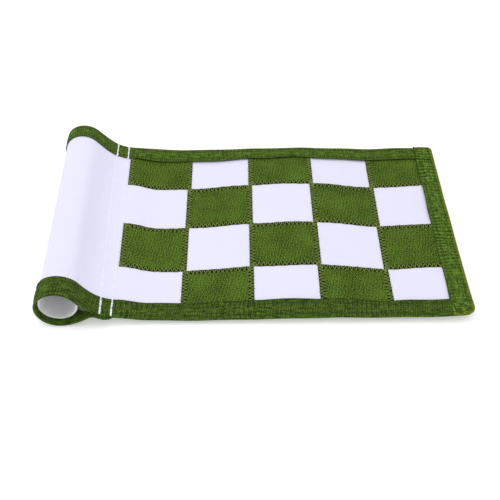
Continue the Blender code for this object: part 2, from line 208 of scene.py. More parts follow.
def puckers(along, across, reach, size, length, phase):
    """Small ripples along a seam, dying out at reach from it."""
    slow = 1.4 * np.sin(along / (5.3 * length) + phase)
    quick = 0.8 * np.sin(along / (1.9 * length) + 2 * phase)
    sway = slow + quick
    fade = np.exp(-(across / reach) ** 2)
    return size * fade * np.sin(math.tau * along / length + sway)


def column_lines():
    return [column * COLUMN_PITCH for column in range(1, COLUMNS)]


def row_line(number):
    return (number - ROWS / 2) * ROW_PITCH


def row_lines():
    return [row_line(number) for number in range(1, ROWS)]


def relief(x, y):
    """Small unevenness of the sewn cloth."""
    total = 0.16 * MM * np.sin(x / (5.1 * MM) + 1.7 * np.sin(y / (17 * MM)))
    total += 0.14 * MM * np.sin(y / (6.3 * MM) + 2.1 * np.sin(x / (21 * MM)) + 1)
    for phase, line in enumerate(column_lines(), 1):
        total += puckers(y, x - line, 4.5 * MM, 0.10 * MM, 6.1 * MM, phase)
    for phase, line in enumerate(row_lines(), 4):
        total += puckers(x, y - line, 4.5 * MM, 0.10 * MM, 6.7 * MM, phase)
    return total


def cloth_height(x, y):
    middle = 1 - np.minimum(1, np.abs(y) / HALF_HEIGHT) ** WAVE_FADE
    edge = np.where(y < 0, curve_through(NEAR_WAVE, x), curve_through(FAR_WAVE, x))
    waves = edge + middle * (curve_through(MIDDLE_WAVE, x) - edge)
    return waves + relief(x, y) * smooth_step(2 * MM, 14 * MM, x)


def field_middle(x, y):
    skew = seam_x(y) * np.maximum(0, 1 - x / COLUMN_PITCH)
    return np.stack([x + skew + ORIGIN_X, y, cloth_height(x, y)], -1)


def bezier(points, t):
    s = 1 - t
    return points[0] * s**3 + points[1] * 3 * s * s * t + points[2] * 3 * s * t * t + points[3] * t**3


def section_points(y):
    """What shapes the sleeve's section at y: the tube side's centre and radius, and its curves."""
    share = y / FLAG_HEIGHT + 0.5
    at_end = smooth_step(SLEEVE_END_FROM, SLEEVE_END_FULL, np.abs(y))
    end_radius = np.where(y < 0, SLEEVE_RADIUS_ENDS[0], SLEEVE_RADIUS_ENDS[1])
    radius = between((SLEEVE_RADIUS_MIDDLE, end_radius), at_end)
    top = np.radians(between(TOP_LEAVES_TUBE, share))
    bottom = np.radians(between(BOTTOM_LEAVES_TUBE, share))
    slope = np.radians(between(TOP_SLOPE, share))
    centre = (-SEAM_TO_TUBE + 0 * y, TUBE_CENTRE_Z + 0 * y)
    seam = (0 * y, cloth_height(0 * y, y))
    leave = (centre[0] + radius * np.cos(top), centre[1] + radius * np.sin(top))
    seam_handle = between(SEAM_HANDLE, share)
    leave_handle = between(LEAVE_HANDLE, share)
    over = (
        (seam[0], seam[0] - seam_handle * np.cos(slope),
         leave[0] + leave_handle * np.sin(top), leave[0]),
        (seam[1], seam[1] + seam_handle * np.sin(slope),
         leave[1] - leave_handle * np.cos(top), leave[1]),
    )
    return share, at_end, radius, top, bottom, centre, over


def sleeve_middle(run, y):
    """The sleeve's cloth: run 0 to 1 up to the tube, 1 to 2 round it, 2 to 3 back below,
    3 to 4 under its own start and 4 to 5 the hem under the field."""
    share, at_end, radius, top, bottom, centre, over = section_points(y)
    drop = between((LAYER_DROP_CLOTH, LAYER_DROP_TAPE), at_end)
    joined = between(JOINED_AT, share)

    def up(t):
        return bezier(over[0], t), bezier(over[1], t)

    def around(angle):
        return centre[0] + radius * np.cos(angle), centre[1] + radius * np.sin(angle)

    join = up(joined)
    after = up(joined + 0.02)
    length = np.hypot(after[0] - join[0], after[1] - join[1])
    heading = ((after[0] - join[0]) / length, (after[1] - join[1]) / length)
    landing = around(bottom)
    under = tuple(
        (landing[k], landing[k] + UNDER_HANDLE * turn, join[k] - drop * k + JOIN_HANDLE * heading[k],
         join[k] - drop * k)
        for k, turn in ((0, -np.sin(bottom)), (1, np.cos(bottom)))
    )
    first = np.clip(run, 0, 1)
    second = np.clip(run - 1, 0, 1)
    third = np.clip(run - 2, 0, 1)
    fourth = np.clip(run - 3, 0, 1)
    fifth = np.clip(run - 4, 0, 1)
    hem_x = fifth * HEM_LENGTH
    returned = up(joined * (1 - fourth))
    places = (
        up(first),
        around(top + (bottom - top) * second),
        (bezier(under[0], third), bezier(under[1], third)),
        (returned[0], returned[1] - drop),
        (hem_x, cloth_height(hem_x, y) - drop),
    )
    limits = [run <= 1, run <= 2, run <= 3, run <= 4]
    x, z = (np.select(limits, [part[k] for part in places[:4]], places[4][k]) for k in (0, 1))
    return np.stack([x + seam_x(y) + ORIGIN_X, y, z], -1)


RUNS = np.linspace(0, 5, 1201)
MIDDLE_SECTION = sleeve_middle(RUNS, 0 * RUNS)
RUN_LENGTHS = distances_along(MIDDLE_SECTION)
SLEEVE_GIRTH = RUN_LENGTHS[-1]


def girth_at(run):
    """How far along the cloth from the seam the end of a run lies."""
    return float(np.interp(run, RUNS, RUN_LENGTHS))


def surface(u, y):
    """Points of the middle of the white cloth."""
    on_sleeve = sleeve_middle(np.interp(-u, RUN_LENGTHS, RUNS), y)
    on_field = field_middle(np.maximum(u, 0), y)
    return np.where((u < 0)[..., None], on_sleeve, on_field)


def normals(u, y):
    """Outward directions of the cloth."""
    step = 0.15 * MM
    u_safe = np.clip(u, -SLEEVE_GIRTH + step, FIELD_LENGTH - step)
    y_safe = np.clip(y, -HALF_HEIGHT, HALF_HEIGHT)
    along = surface(u_safe + step, y_safe) - surface(u_safe - step, y_safe)
    across = surface(u_safe, y_safe + step) - surface(u_safe, y_safe - step)
    return unit(np.cross(along, across))


def place(u, y, offset):
    """Points of the flag at u and y, at an offset from the middle of the white cloth."""
    u, y, offset = np.broadcast_arrays(u, y, offset)
    u = u.astype(float)
    y = y.astype(float)
    return surface(u, y) + normals(u, y) * offset[..., None]


# Meshes

def add_object(name, data):
    thing = bpy.data.objects.new(name, data)
    bpy.context.scene.collection.objects.link(thing)
    return thing


def make_object(name, points, faces, uv, material):
    mesh = bpy.data.meshes.new(name)
    mesh.from_pydata(points.tolist(), [], faces)
    layer = mesh.uv_layers.new(name="UVMap")
    corners = np.zeros(len(mesh.loops), int)
    mesh.loops.foreach_get("vertex_index", corners)
    layer.data.foreach_set("uv", uv[corners].ravel())
    mesh.shade_smooth()
    mesh.set_sharp_from_angle(angle=SHARP_EDGE)
    mesh.materials.append(material)
    return add_object(name, mesh)


def closed_sheet(name, upper, lower, uv, material, keep=None, values=None):
    """A closed sheet between two grids of points; keep says which of its cells exist.
    values gives a float for each grid point by attribute name."""
    rows, columns = upper.shape[:2]
    if keep is None:
        keep = np.ones((rows - 1, columns - 1), bool)
    index = np.arange(rows * columns).reshape(rows, columns)
    under = index + rows * columns
    corner = (index[:-1, :-1], index[1:, :-1], index[1:, 1:], index[:-1, 1:])
    below = (under[:-1, :-1], under[1:, :-1], under[1:, 1:], under[:-1, 1:])
    quads = [np.stack([part[keep] for part in corner], -1)]
    quads.append(np.stack([part[keep] for part in reversed(below)], -1))
    padded = np.pad(keep, 1)
    beside = (padded[1:-1, :-2], padded[2:, 1:-1], padded[1:-1, 2:], padded[:-2, 1:-1])
    for side in range(4):
        bare = keep & ~beside[side]
        a, b = side, (side + 1) % 4
        wall = (corner[b][bare], corner[a][bare], below[a][bare], below[b][bare])
        quads.append(np.stack(wall, -1))
    faces = np.concatenate(quads)
    used, renumbered = np.unique(faces, return_inverse=True)
    points = np.concatenate([upper.reshape(-1, 3), lower.reshape(-1, 3)])[used]
    both_uv = np.concatenate([uv.reshape(-1, 2)] * 2)[used]
    thing = make_object(name, points, renumbered.reshape(-1, 4).tolist(), both_uv, material)
    for attribute, grid in (values or {}).items():
        stored = thing.data.attributes.new(attribute, "FLOAT", "POINT")
        stored.data.foreach_set("value", np.concatenate([grid.ravel()] * 2)[used].astype(np.float32))
    return thing


def lines_between(fixed, cell):
    """Grid lines through all the fixed places, no further apart than cell."""
    fixed = sorted(fixed)
    lines = [fixed[0]]
    for start, end in zip(fixed, fixed[1:]):
        if end - start > 1e-6:
            pieces = max(1, math.ceil((end - start) / cell))
            lines += [start + (end - start) * k / pieces for k in range(1, pieces + 1)]
    return np.array(lines)


def threads(name, paths, ups, radii, sides, material, twist):
    """Threads of twisted yarn along paths, joined in one mesh. ups are the directions out of the
    cloth and radii the thread's radius at each point; twist is how fast its plies turn."""
    points = []
    faces = []
    uvs = []
    base = 0
    turn = np.arange(sides) / sides * math.tau
    for path, up, radius in zip(paths, ups, radii):
        along = unit(np.gradient(path, axis=0))
        aside = unit(np.cross(along, up))
        out = np.cross(aside, along)
        gone = distances_along(path)
        lobes = 1 + 0.16 * np.cos(PLIES * (turn[None, :] - twist * gone[:, None]))
        reach = radius[:, None] * lobes
        ring = path[:, None] + reach[..., None] * (
            np.cos(turn)[None, :, None] * aside[:, None] + np.sin(turn)[None, :, None] * out[:, None]
        )
        count = len(path)
        points.append(ring.reshape(-1, 3))
        round_thread = turn[None, :] * radius.max()
        uvs.append(np.stack(np.broadcast_arrays(gone[:, None], round_thread), -1).reshape(-1, 2))
        number = base + np.arange(count * sides).reshape(count, sides)
        following = np.roll(number, -1, axis=1)
        skin = np.stack([number[:-1], following[:-1], following[1:], number[1:]], -1).reshape(-1, 4)
        faces += skin.tolist()
        faces.append(number[0][::-1].tolist())
        faces.append(number[-1].tolist())
        base += count * sides
    return make_object(name, np.concatenate(points), faces, np.concatenate(uvs), material)


# Materials

class Recipe:
    """A material with a Principled shader, and short ways to add its nodes."""

    def __init__(self, name, roughness, **settings):
        self.material = bpy.data.materials.new(name)
        self.material.use_nodes = True
        self.tree = self.material.node_tree
        self.shader = self.tree.nodes["Principled BSDF"]
        self.shader.inputs["Roughness"].default_value = roughness
        for socket, value in settings.items():
            self.shader.inputs[socket.replace("_", " ")].default_value = value

    def add(self, kind, inputs=(), **settings):
        node = self.tree.nodes.new(kind)
        for key, value in settings.items():
            setattr(node, key, value)
        for socket, value in dict(inputs).items():
            if isinstance(value, bpy.types.NodeSocket):
                self.tree.links.new(value, node.inputs[socket])
            else:
                node.inputs[socket].default_value = value
        return node

    def math(self, operation, a, b=0.0, c=0.0, clamp=False):
        return self.add("ShaderNodeMath", {0: a, 1: b, 2: c}, operation=operation, use_clamp=clamp).outputs[0]

    def scale(self, value, by, plus=0.0, clamp=False):
        return self.math("MULTIPLY_ADD", value, by, plus, clamp)

    def uv(self):
        return self.add("ShaderNodeUVMap", uv_map="UVMap").outputs[0]

    def attribute(self, name):
        return self.add("ShaderNodeAttribute", attribute_name=name).outputs["Fac"]

    def noise(self, place, size, detail=2.0, stretch=(1, 1, 1)):
        """Noise from 0 to 1 whose blotches are about size across."""
        scaled = self.add("ShaderNodeVectorMath", {0: place, 1: stretch}, operation="MULTIPLY").outputs[0]
        inputs = {"Vector": scaled, "Scale": 1 / size, "Detail": detail}
        return self.add("ShaderNodeTexNoise", inputs).outputs["Fac"]

    def lines(self, place, direction, pitch, waver):
        """Waves from 0 to 1 across direction, pitch apart, moved by waver."""
        length = math.hypot(*direction)
        unit = (direction[0] / length, direction[1] / length, 0)
        across = self.add("ShaderNodeVectorMath", {0: place, 1: unit}, operation="DOT_PRODUCT")
        phase = self.scale(across.outputs["Value"], math.tau / pitch, waver)
        return self.scale(self.math("SINE", phase), 0.5, 0.5)

    def mix(self, share, low, high):
        node = self.add("ShaderNodeMix", data_type="RGBA")
        for socket, value in (("Factor", share), ("A", low), ("B", high)):
            target = [s for s in node.inputs if s.name == socket and s.enabled][0]
            if isinstance(value, bpy.types.NodeSocket):
                self.tree.links.new(value, target)
            else:
                target.default_value = value
        return [s for s in node.outputs if s.enabled][0]

    def paint(self, colour):
        self.tree.links.new(colour, self.shader.inputs["Base Color"])

    def roughen(self, value, low, high):
        rough = self.scale(value, high - low, low)
        self.tree.links.new(rough, self.shader.inputs["Roughness"])

    def bump(self, height, depth, strength=1.0):
        node = self.add("ShaderNodeBump", {"Height": height, "Distance": depth, "Strength": strength})
        self.tree.links.new(node.outputs[0], self.shader.inputs["Normal"])


def shade(colour, factor):
    return (*[min(1, channel * factor) for channel in colour], 1)


GREEN = (0.0700, 0.1290, 0.0122)
TAPE_GREEN = (0.0620, 0.1150, 0.0110)
YELLOWED_GREEN = (0.1050, 0.1500, 0.0060)
OLIVE = (0.1150, 0.1280)
OLIVE_BLUE = 0.0060
WHITE = (0.790, 0.780, 0.960)
PLASTIC_DARK = (0.93, 0.92, 0.97)
PLASTIC_LIGHT = (0.97, 0.96, 1.0)
PLASTIC_SCUFFED = (0.88, 0.88, 0.93)


def green_nylon():
    """Twill with steep diagonal ribs, and painted shade in patches along the zigzag seams."""
    recipe = Recipe("green_nylon", 0.8, Specular_IOR_Level=0.12)
    uv = recipe.uv()
    blotch = recipe.noise(uv, 9 * MM)
    grain = recipe.noise(uv, 0.62 * MM, 2)
    ribs = recipe.lines(uv, (1, -0.20), 1.75 * MM, recipe.scale(blotch, 9.0))
    twill = recipe.lines(uv, (1, -0.55), 0.90 * MM, recipe.scale(grain, 2.0))
    weft = recipe.lines(uv, (0.08, 1), 1.35 * MM, recipe.scale(blotch, 6.0))
    weave = recipe.scale(ribs, 0.42, recipe.scale(twill, 0.60))
    weave = recipe.scale(weft, 0.25, weave)
    patch = recipe.scale(recipe.noise(uv, 13 * MM, 1), 1.0, -0.5)
    speckle = recipe.scale(grain, 7.0, -3.72)
    tone = recipe.math("ADD", recipe.math("ADD", weave, patch), speckle, clamp=True)
    cloth = recipe.mix(tone, shade(GREEN, 0.10), shade(GREEN, 1.85))
    yellowing = recipe.math("MULTIPLY", recipe.noise(uv, 3.1 * MM), 0.22)
    yellowed = recipe.mix(yellowing, cloth, (*YELLOWED_GREEN, 1))
    # Painted shade in the zigzag bands: the green is darkened in patches between the threads.
    painted_seam_shade = recipe.scale(recipe.noise(uv, 1.4 * MM, 3), 3.2, -0.62, clamp=True)
    seam_shade_amount = recipe.math("MULTIPLY", recipe.attribute("seam"), painted_seam_shade)
    seam = recipe.mix(seam_shade_amount, yellowed, shade(GREEN, 0.08))
    recipe.paint(seam)
    recipe.roughen(grain, 0.68, 0.92)
    recipe.bump(recipe.math("ADD", weave, grain), 0.14 * MM)
    return recipe.material


def green_tape(name, factor, olive_rim):
    """Ribbed binding tape: fine ribs across it and worn streaks along it, with painted light and shade on its
    puckers, along its stitch lines and at its inner edge. factor makes the whole tape lighter or darker:
    painted light and shade.
    """
    recipe = Recipe(name, 0.85, Specular_IOR_Level=0.12)
    uv = recipe.uv()
    blotch = recipe.noise(uv, 4.5 * MM, 3)
    streak = recipe.noise(uv, 1.5 * MM, 4, (0.30, 1, 1))
    grain = recipe.noise(uv, 0.60 * MM, 3)
    ribs = recipe.lines(uv, (1, 0.15), 1.35 * MM, recipe.scale(blotch, 7.0))
    tone = recipe.scale(ribs, 0.34, recipe.scale(streak, 2.0, -0.92))
    # Painted light and shade: the puckers' crests are lighter and their hollows darker.
    crest_light_and_shade = recipe.scale(recipe.attribute("crest"), 1.3, -0.68)
    speckle = recipe.scale(grain, 3.6, -1.65)
    tone = recipe.math("ADD", recipe.math("ADD", tone, crest_light_and_shade), speckle, clamp=True)
    cloth = recipe.mix(tone, shade(TAPE_GREEN, 0.25 * factor), shade(TAPE_GREEN, 1.80 * factor))
    olive = recipe.math("MULTIPLY", recipe.attribute("rim"), olive_rim)
    rimmed = recipe.mix(olive, cloth, (OLIVE[0] * factor, OLIVE[1] * factor, OLIVE_BLUE, 1))
    # Painted shade: the tape is darker along its stitch lines and its inner cut edge.
    painted_seam_shade = recipe.mix(recipe.attribute("seam"), rimmed, shade(TAPE_GREEN, 0.30 * factor))
    recipe.paint(painted_seam_shade)
    recipe.roughen(grain, 0.72, 0.95)
    recipe.bump(recipe.math("ADD", ribs, recipe.scale(streak, 1.2)), 0.10 * MM)
    return recipe.material


def white_nylon():
    """Plain weave, very slightly uneven."""
    recipe = Recipe("white_nylon", 0.75, Specular_IOR_Level=0.1, Subsurface_Weight=0.12,
                    Subsurface_Scale=0.5 * MM, Subsurface_Radius=(1, 1, 1))
    uv = recipe.uv()
    waver = recipe.math("MULTIPLY", recipe.noise(uv, 9 * MM), 6.0)
    warp = recipe.lines(uv, (1, 0), 0.62 * MM, waver)
    weft = recipe.lines(uv, (0, 1), 0.70 * MM, waver)
    weave = recipe.math("MULTIPLY", warp, weft)
    cloud = recipe.noise(uv, 16 * MM, 1)
    base = recipe.mix(cloud, shade(WHITE, 0.985), shade(WHITE, 1.015))
    recipe.paint(recipe.mix(weave, base, shade(WHITE, 0.965)))
    recipe.roughen(weave, 0.68, 0.82)
    recipe.bump(weave, 0.04 * MM, 0.6)
    return recipe.material


def yarn(name, dark, light):
    """Twisted yarn: fine slanting lines along the thread."""
    recipe = Recipe(name, 0.6, Specular_IOR_Level=0.25)
    uv = recipe.uv()
    fibres = recipe.lines(uv, (1, 0.8), 0.5 * MM, recipe.math("MULTIPLY", recipe.noise(uv, 1.1 * MM), 4.0))
    uneven = recipe.scale(recipe.noise(uv, 2.3 * MM), 1.2, -0.35)
    tone = recipe.scale(fibres, 0.4, uneven, clamp=True)
    recipe.paint(recipe.mix(tone, (*dark, 1), (*light, 1)))
    recipe.roughen(fibres, 0.5, 0.75)
    recipe.bump(fibres, 0.05 * MM)
    return recipe.material


def white_plastic():
    """Extruded tube: faint lines along it, and a slightly uneven satin finish."""
    recipe = Recipe("white_plastic", 0.4, Specular_IOR_Level=0.3, Subsurface_Weight=1.0,
                    Subsurface_Scale=5 * MM, Subsurface_Radius=(1, 1, 1))
    uv = recipe.uv()
    drawn = recipe.noise(uv, 1.6 * MM, 3, (0.03, 1, 1))
    scuff = recipe.noise(uv, 2.5 * MM, 4)
    base = recipe.mix(drawn, (*PLASTIC_DARK, 1), (*PLASTIC_LIGHT, 1))
    scuffing = recipe.scale(scuff, 0.6, -0.2, clamp=True)
    recipe.paint(recipe.mix(scuffing, base, (*PLASTIC_SCUFFED, 1)))
    recipe.roughen(scuff, 0.32, 0.5)
    recipe.bump(drawn, 0.02 * MM)
    return recipe.material


# Pieces

def is_green(column, row):
    return (column + row) % 2 == 1


def inside_green(x, y, inset):
    """How far a point lies inside the border of the green square around it, across the columns and
    across the rows, when each green square is shrunk by inset; below 0 it lies outside them all."""
    best_x = np.full(np.broadcast(x, y).shape, -1.0)
    best_y = best_x.copy()
    for column in range(COLUMNS):
        left = GREEN_START if column == 0 else column * COLUMN_PITCH - OVER_COLUMN_LINE
        right = FIELD_LENGTH if column == COLUMNS - 1 else (column + 1) * COLUMN_PITCH + OVER_COLUMN_LINE
        for row in range(ROWS):
            if not is_green(column, row):
                continue
            near = -HALF_HEIGHT if row == 0 else row_line(row) - OVER_ROW_LINE
            far = HALF_HEIGHT if row == ROWS - 1 else row_line(row + 1) + OVER_ROW_LINE
            deep_x = np.minimum(x - left, right - x) - inset
            deep_y = np.minimum(y - near, far - y) - inset
            better = np.minimum(deep_x, deep_y) > np.minimum(best_x, best_y)
            best_x = np.where(better, deep_x, best_x)
            best_y = np.where(better, deep_y, best_y)
    return best_x, best_y


def cell_middles(xs, ys):
    return np.broadcast_arrays((xs[:-1] + xs[1:])[:, None] / 2, (ys[:-1] + ys[1:])[None, :] / 2)


def white_cells(xs, ys):
    """The cells of the white cloth: it has a window behind each green square."""
    x, y = cell_middles(xs, ys)
    framed = (x < WINDOW_INSET) | (x > FLY_INNER) | (np.abs(y) > TAPE_INNER)
    return framed | (np.minimum(*inside_green(x, y, WINDOW_INSET)) < 0)


def green_cells(xs, ys):
    return np.minimum(*inside_green(*cell_middles(xs, ys), 0)) >= 0


def stops(lines, *shifts):
    return [line + side * shift for line in lines for shift in shifts for side in (-1, 1)]


def make_flag_cloth(material):
    """The white cloth: the hem, the sleeve and the field's white squares in one sheet."""
    columns = stops(column_lines(), abs(WINDOW_INSET - OVER_COLUMN_LINE))
    rows = stops(row_lines(), abs(WINDOW_INSET - OVER_ROW_LINE))
    field_us = lines_between([0, WINDOW_INSET, *columns, FLY_INNER, FIELD_LENGTH - CLOTH_INSET], CELL)
    sleeve_us = lines_between([-SLEEVE_GIRTH, -girth_at(3), -girth_at(2), -girth_at(1), 0], 0.9 * CELL)
    us = np.concatenate([sleeve_us[:-1], field_us])
    side = HALF_HEIGHT - CLOTH_INSET
    ys = lines_between([-side, -TAPE_INNER, *rows, TAPE_INNER, side], CELL)
    keep = white_cells(us, ys)
    u, y = np.meshgrid(us, ys, indexing="ij")
    uv = np.stack([u, y], -1)
    upper = place(u, y, WHITE_HALF)
    lower = place(u, y, -WHITE_HALF)
    return closed_sheet("flag_cloth", upper, lower, uv, material, keep), kept_area(us, ys, keep)


def kept_area(us, ys, keep):
    return float((np.diff(us)[:, None] * np.diff(ys)[None, :])[keep].sum())


def make_green_checker(material):
    """The green cloth: the green squares and the strips between the squares."""
    columns = stops(column_lines(), OVER_COLUMN_LINE)
    rows = stops(row_lines(), OVER_ROW_LINE)
    us = lines_between([GREEN_START, *columns, FLY_INNER + TUCK], FINE_CELL)
    side = TAPE_INNER + TUCK
    ys = lines_between([-side, *rows, side], FINE_CELL)
    keep = green_cells(us, ys)
    u, y = np.meshgrid(us, ys, indexing="ij")
    deep = np.minimum(*inside_green(u, y, 0))
    # seam is 1 in the zigzag bands: the cloth lies lower there, and the material paints shade there.
    seam = 1 - smooth_step(0.85 * BAND_WIDTH, 1.1 * BAND_WIDTH, deep)
    crown = 0.12 * MM * (1 - seam)
    uv = np.stack([u, y], -1)
    upper = place(u, y, GREEN_HIGH + crown)
    lower = place(u, y, GREEN_LOW)
    made = closed_sheet("green_checker_cloth", upper, lower, uv, material, keep, {"seam": seam})
    return made, kept_area(us, ys, keep)


def tape_profile(lower_flap):
    """Places across a folded tape, from the upper flap's inner edge over the fold to the lower
    flap's inner edge: distance from the inner edge and offset of the tape's middle."""
    flap = np.concatenate([[0, 0.25, 0.6], np.arange(1.2, 11.9, 0.6)]) * MM
    fold_at = 12.1 * MM
    half_fold = (TAPE_RIDES - TAPE_UNDER) / 2
    middle = (TAPE_RIDES + TAPE_UNDER) / 2
    turn = np.linspace(math.pi / 2, -math.pi / 2, FOLD_POINTS)
    reach = TAPE_WIDTH - fold_at - TAPE_THICKNESS / 2
    fold = np.stack([fold_at + reach * np.cos(turn), middle + half_fold * np.sin(turn)], -1)
    top = np.stack([flap, 0 * flap + TAPE_RIDES], -1)
    back = np.linspace(fold_at - 0.4 * MM, TAPE_WIDTH - lower_flap, LOWER_POINTS)
    bottom = np.stack([back, 0 * back + TAPE_UNDER], -1)
    return np.concatenate([top, fold, bottom])


def at_stitches(across, inner_reach, outer_reach):
    """1 at a tape's two lines of stitches, dying out at these reaches from them."""
    inner = np.exp(-((across - STITCH_INSET) / inner_reach) ** 2)
    outer = np.exp(-((across - TAPE_WIDTH + STITCH_INSET) / outer_reach) ** 2)
    return inner + outer


def tape_puckers(along, across, seed):
    """The crosswise puckers of the upper flap, deepest at its two lines of stitches."""
    slow = 1.9 * np.sin(along / (7.7 * MM) + seed)
    quick = 1.1 * np.sin(along / (3.1 * MM) + 2 * seed)
    beat = along / (0.44 * MM) + slow + quick
    uneven = 0.6 + 0.4 * np.sin(along / (11 * MM) + seed)
    slant = 0.9 * np.sin(across / (2.6 * MM) + along / (6.1 * MM))
    gathered = 0.25 + at_stitches(across, 2.2 * MM, 2.0 * MM)
    return PUCKER_DEPTH[seed] * np.sin(beat + slant) * uneven * gathered


def tape_swell(along, across, seed):
    """How the upper flap rises between its two lines of stitches, and its crosswise puckers."""
    share = np.clip((across - STITCH_INSET) / (TAPE_WIDTH - 2 * STITCH_INSET), 0, 1)
    pulled_down = 0.12 * MM * at_stitches(across, 0.7 * MM, 0.7 * MM)
    lip = np.exp(-across / (0.8 * MM)) * (0.5 + 0.5 * np.sin(along / (4.3 * MM) + seed))
    shape = 0.24 * MM * np.sin(math.pi * share) - pulled_down + 0.16 * MM * lip
    return shape + tape_puckers(along, across, seed)


class TapeRoute:
    """Where a tape lies: for each of its sections the place of its inner edge, the direction across
    it, its width there, how far along the tape it is, how much higher it rides and how deep its
    lower flap is. On a mirrored route the field lies to the other side."""

    def __init__(self, mirrored):
        self.rows = []
        self.mirrored = mirrored

    def add(self, u, y, direction, width, along, lift=0.0, lower_flap=FULL_FLAP):
        self.rows.append((u, y, *direction, width, along, lift, lower_flap))

    def columns(self):
        return [column[:, None] for column in np.array(self.rows, float).T]


def tape_body(name, route, material, seed, edge_lift):
    """A tape folded over an edge of the flag along a route; its inner edge stands up by edge_lift."""
    u0, y0, du, dy, width, along, lift, lower_flap = route.columns()
    count = len(route.rows)
    full = tape_profile(TAPE_WIDTH)
    across = full[:, 0][None, :] * np.ones((count, 1))
    offset = full[:, 1][None, :] * np.ones((count, 1))
    is_lower = np.arange(len(full))[None, :] >= len(full) - LOWER_POINTS
    shrink = np.clip((TAPE_WIDTH - across) / TAPE_WIDTH, 0, 1) * (TAPE_WIDTH - lower_flap)
    across = np.where(is_lower, across + shrink, across)
    is_upper = np.arange(len(full))[None, :] <= len(full) - LOWER_POINTS - FOLD_POINTS
    standing = edge_lift * np.exp(-across / (1.6 * MM)) * smooth_step(0, 3 * MM, along)
    swell = np.where(is_upper, tape_swell(along, across, seed) + standing, 0)
    sway = 0.22 * MM * np.sin(along / (5.9 * MM) + seed) * np.exp(-across / (1.5 * MM))
    fold_direction = unit(np.gradient(full, axis=0))
    out_across = -fold_direction[:, 1][None, :]
    out_offset = fold_direction[:, 0][None, :]
    offset = offset + swell + np.where(offset > 0, lift, -lift)

    def layer(side):
        w = (across + sway * is_upper + side * out_across * TAPE_THICKNESS / 2) * width / TAPE_WIDTH
        return place(u0 + du * w, y0 + dy * w, offset + side * out_offset * TAPE_THICKNESS / 2)

    uv = np.stack(np.broadcast_arrays(along + 0 * across, distances_along(full) + 0 * across), -1)
    # seam marks painted shade on the upper flap: along its two stitch lines and along its inner cut edge.
    stitched = at_stitches(across, 0.45 * MM, 0.45 * MM)
    cut_edge = np.exp(-(across / (0.6 * MM)) ** 2)
    seam = np.clip((stitched + cut_edge) * 0.85, 0, 1) * is_upper
    rim = smooth_step(TAPE_WIDTH - 2.2 * MM, TAPE_WIDTH - 0.9 * MM, across)
    grids = (layer(1), layer(-1))
    # crest marks painted light and shade on the puckers: lighter on their crests, darker in their hollows.
    crest = np.clip(0.5 + is_upper * tape_puckers(along, across, seed) / (0.5 * MM), 0, 1)
    values = {"seam": seam + 0 * across, "rim": rim, "crest": crest}
    if route.mirrored:
        grids = tuple(grid[::-1] for grid in grids)
        uv = uv[::-1]
        values = {key: value[::-1] for key, value in values.items()}
    return closed_sheet(name, *grids, uv, material, None, values)


def edge_route(side, end):
    """The route of the near (side -1) or far (side 1) tape: from the hem round the sleeve and on
    along the field to u = end."""
    route = TapeRoute(side < 0)
    run_ends = [-SLEEVE_GIRTH, *[-girth_at(run) for run in (4, 3, 2, 1)], 0]
    us = np.concatenate([lines_between(run_ends, 0.75 * MM)[:-1], lines_between([0, end], 0.7 * MM)])
    flare = LOOP_FLARE[0] if side < 0 else LOOP_FLARE[1]
    for u in us:
        reached = smooth_step(-girth_at(0.45), -girth_at(1), u)
        on_loop = float(reached * smooth_step(-girth_at(3), -girth_at(2.4), u))
        flared = flare * float(reached * smooth_step(-girth_at(4.1), -girth_at(3.4), u))
        after_loop = float(smooth_step(-girth_at(2.2), -girth_at(3), u))
        flap = FULL_FLAP - 4.3 * MM * on_loop - 7.6 * MM * after_loop
        tucked = 1.6 * MM * float(smooth_step(-girth_at(3.8), -girth_at(4.5), u))
        route.add(u, side * TAPE_INNER, (0, side), TAPE_WIDTH + flared - tucked, u, 0, flap)
    return route


def fly_edge(y):
    """The fly edge's distance from the seam, rounded at the far corner."""
    past = max(0.0, y - (HALF_HEIGHT - FAR_CORNER))
    return FIELD_LENGTH - FAR_CORNER + math.sqrt(max(0.0, FAR_CORNER**2 - past**2))


def corner_width(angle):
    """How far the near corner's outline is from its inner corner, at an angle from the -y direction."""
    low, high = 0.0, 2 * TAPE_WIDTH
    for _ in range(40):
        reach = (low + high) / 2
        x, y = reach * math.sin(angle), reach * math.cos(angle)
        over_x = max(0.0, x - (TAPE_WIDTH - NEAR_CORNER))
        over_y = max(0.0, y - (TAPE_WIDTH - NEAR_CORNER))
        if math.hypot(over_x, over_y) <= NEAR_CORNER:
            low = reach
        else:
            high = reach
    return low


def corner_turn():
    """The turn round the near corner in steps: the angle from the -y direction and the place along
    the tape, as if it went on straight."""
    for step in range(CORNER_STEPS + 1):
        left = 1 - step / CORNER_STEPS
        yield math.pi / 2 * step / CORNER_STEPS, -TAPE_INNER - left * CORNER_LENGTH


def over_far_tape(y):
    """From 0 to 1 where the fly tape climbs over the far tape's end."""
    return smooth_step(TAPE_INNER - 2.5 * MM, TAPE_INNER + 0.5 * MM, y)


def fly_route():
    """The fly tape: round the near corner, along the fly edge and over the far tape's end."""
    route = TapeRoute(True)
    inner_round = 0.25 * MM
    for angle, gone in corner_turn():
        across = (math.sin(angle), -math.cos(angle))
        u = FLY_INNER + inner_round * across[0]
        y = -TAPE_INNER + inner_round * across[1]
        route.add(u, y, across, corner_width(angle) - inner_round, gone)
    straight = lines_between([-TAPE_INNER + 0.6 * MM, TAPE_INNER, HALF_HEIGHT - FAR_CORNER], 0.7 * MM)
    corner = [HALF_HEIGHT - FAR_CORNER + FAR_CORNER * math.sin(math.radians(a)) for a in (20, 40, 60, 75, 86)]
    for y in [*straight, *corner]:
        lift = TAPE_LAP * float(over_far_tape(y))
        route.add(FLY_INNER, y, (1, 0), fly_edge(y) - FLY_INNER, y, lift)
    return route


